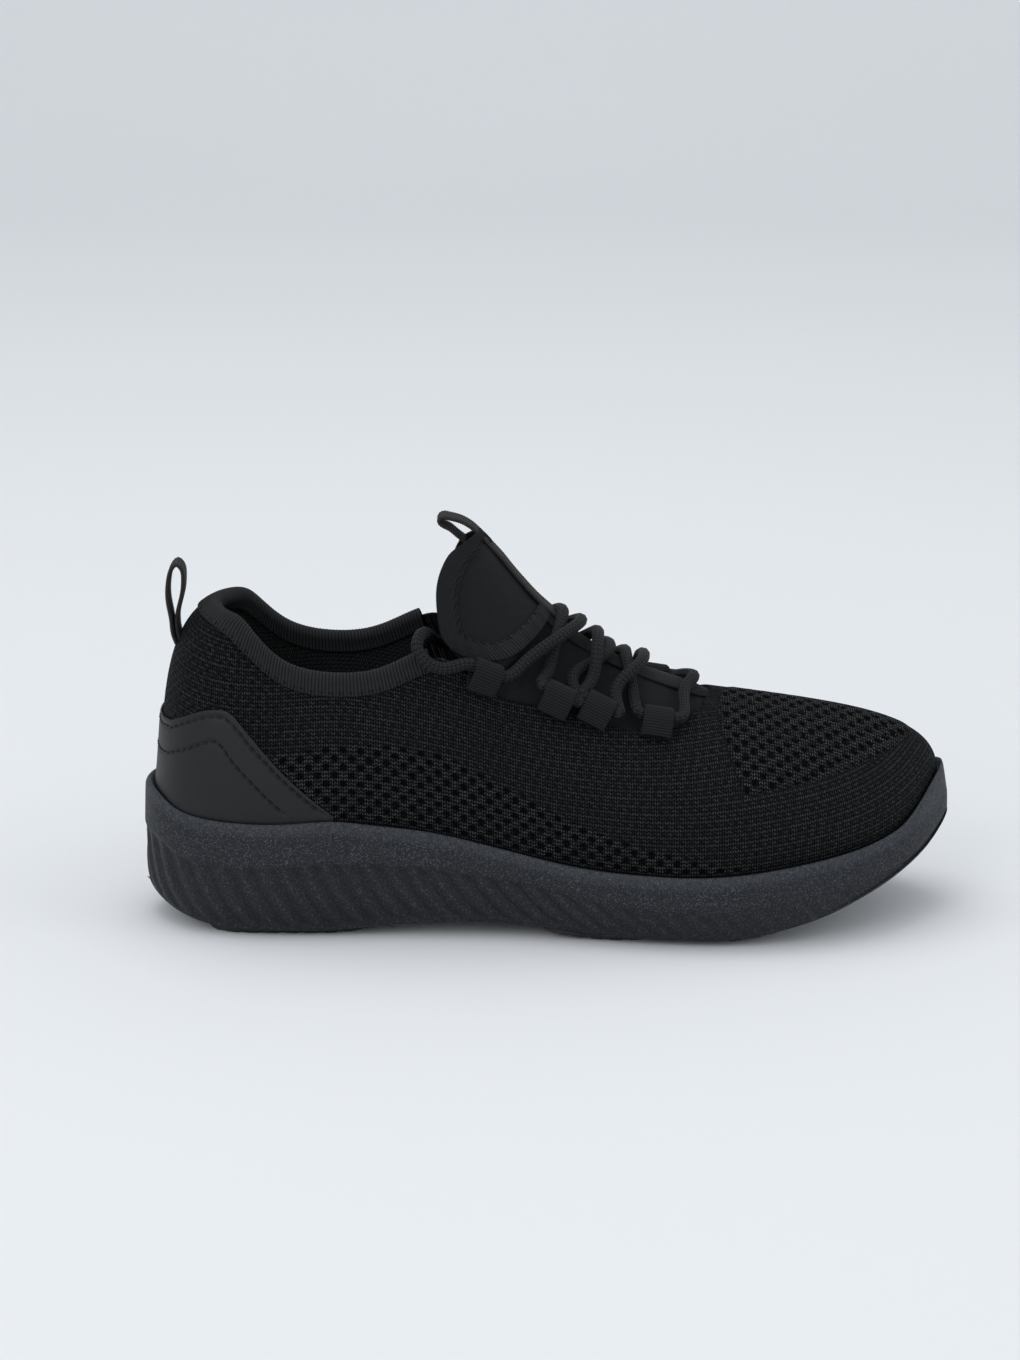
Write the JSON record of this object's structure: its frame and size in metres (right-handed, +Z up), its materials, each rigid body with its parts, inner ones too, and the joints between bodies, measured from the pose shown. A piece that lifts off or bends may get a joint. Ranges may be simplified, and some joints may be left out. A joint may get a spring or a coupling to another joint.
{
  "type": "running shoe",
  "caption": "Low slip-on knit running shoe for the right foot, with a moulded foam sole, laced instep, tall tongue and pull loops.",
  "frame": {"origin": "on the ground, under the middle of the shoe's length", "axes": "+X to the toe, +Y to the medial side, +Z up"},
  "size_m": [0.2979, 0.102, 0.153],
  "materials": {
    "foam": "moulded foam, fine light speckle, satin",
    "rubber": "matt black rubber",
    "board": "non-woven board",
    "padding": "soft foam",
    "lining": "black mesh cloth",
    "knit": "engineered knit with open mesh zones",
    "overlay": "smooth coated synthetic leather",
    "thread": "polyester thread",
    "stiffener": "thermoplastic sheet",
    "binding": "ribbed elastic tape",
    "stretch": "smooth stretch cloth",
    "webbing": "ribbed grosgrain webbing",
    "lace": "braided round cord",
    "tabs": "ribbed grosgrain tape"
  },
  "bodies": {
    "rearfoot": {"midsole_rear": "foam", "midsole_flex_zone": "foam", "outsole_heel_pad_lateral": "rubber", "outsole_heel_pad_medial": "rubber", "outsole_arch_pad_lateral": "rubber", "outsole_arch_pad_medial": "rubber", "strobel_board": "board", "sockliner_foam": "padding", "sockliner_cover": "lining", "knit_upper": "knit", "heel_overlay": "overlay", "heel_overlay_stitching": "thread", "heel_counter": "stiffener", "collar_foam": "padding", "collar_lining": "lining", "collar_binding": "binding", "instep_panel": "stretch", "instep_tape": "webbing", "lace": "lace", "lace_loops_lateral": "tabs", "lace_loops_medial": "tabs"},
    "forefoot": {"midsole_forefoot": "foam", "outsole_ball_pad_lateral": "rubber", "outsole_ball_pad_medial": "rubber", "outsole_toe_pad": "rubber", "toe_puff": "stiffener"},
    "tongue": {"tongue_shell": "stretch", "tongue_foam": "padding", "tongue_lining": "lining", "tongue_binding": "binding", "tongue_tape": "webbing"},
    "tongue_loop": {"tongue_pull_loop": "webbing"},
    "heel_loop": {"heel_pull_loop": "webbing"}
  },
  "joints": [
    {"name": "forefoot_flex", "type": "hinge", "parent": "rearfoot", "child": "forefoot", "pos_m": [0.055, 0, 0.006], "axis": [-0.2079, -0.9781, 0], "range_deg": [0, 30], "deforming": ["midsole_flex_zone", "strobel_board", "sockliner_foam", "sockliner_cover", "knit_upper", "instep_panel", "instep_tape", "lace"]},
    {"name": "tongue_tilt", "type": "hinge", "parent": "rearfoot", "child": "tongue", "pos_m": [-0.02, 0.003, 0.112], "axis": [0, 1, 0], "range_deg": [-10, 20], "deforming": ["knit_upper", "instep_panel", "instep_tape", "lace"]},
    {"name": "tongue_loop_flex", "type": "hinge", "parent": "tongue", "child": "tongue_loop", "pos_m": [-0.0245, 0.003, 0.1471], "axis": [0, 1, 0], "range_deg": [0, 70]},
    {"name": "heel_loop_flex", "type": "hinge", "parent": "rearfoot", "child": "heel_loop", "pos_m": [-0.1356, 0, 0.1112], "axis": [0, 1, 0], "range_deg": [-90, 15]}
  ]
}
